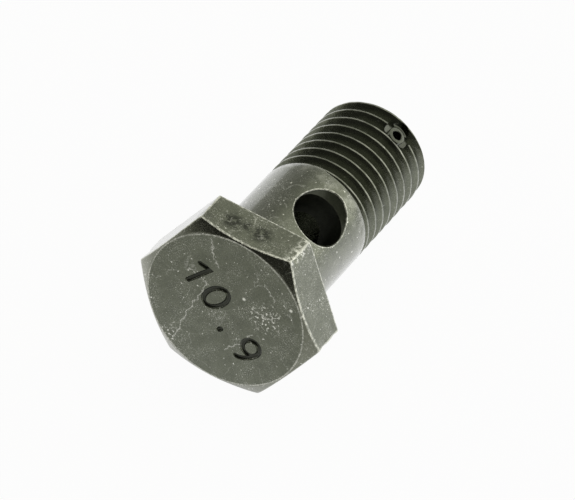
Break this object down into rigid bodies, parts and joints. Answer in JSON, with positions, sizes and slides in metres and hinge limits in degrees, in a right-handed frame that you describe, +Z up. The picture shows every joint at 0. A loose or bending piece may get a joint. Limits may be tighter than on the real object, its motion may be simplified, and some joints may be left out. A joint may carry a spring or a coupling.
{
  "type": "banjo bolt",
  "caption": "Hollow hexagon head bolt for a ring fitting: plain shank with a countersunk cross hole, threaded end and a bore from the tip.",
  "frame": {"origin": "on the table under the middle of the bolt's bounding box, as the bolt lies at rest on one flat of its head and on the thread at its tip", "axes": "+Z up; the tip points along +X, leaning down by 6.2 degrees; +Y across the bolt"},
  "size_m": [0.032, 0.0196, 0.0174],
  "materials": {
    "steel": "black oxide on steel, worn bright along edges and crests"
  },
  "bodies": {
    "root": {"banjo_bolt": "steel"}
  },
  "joints": []
}
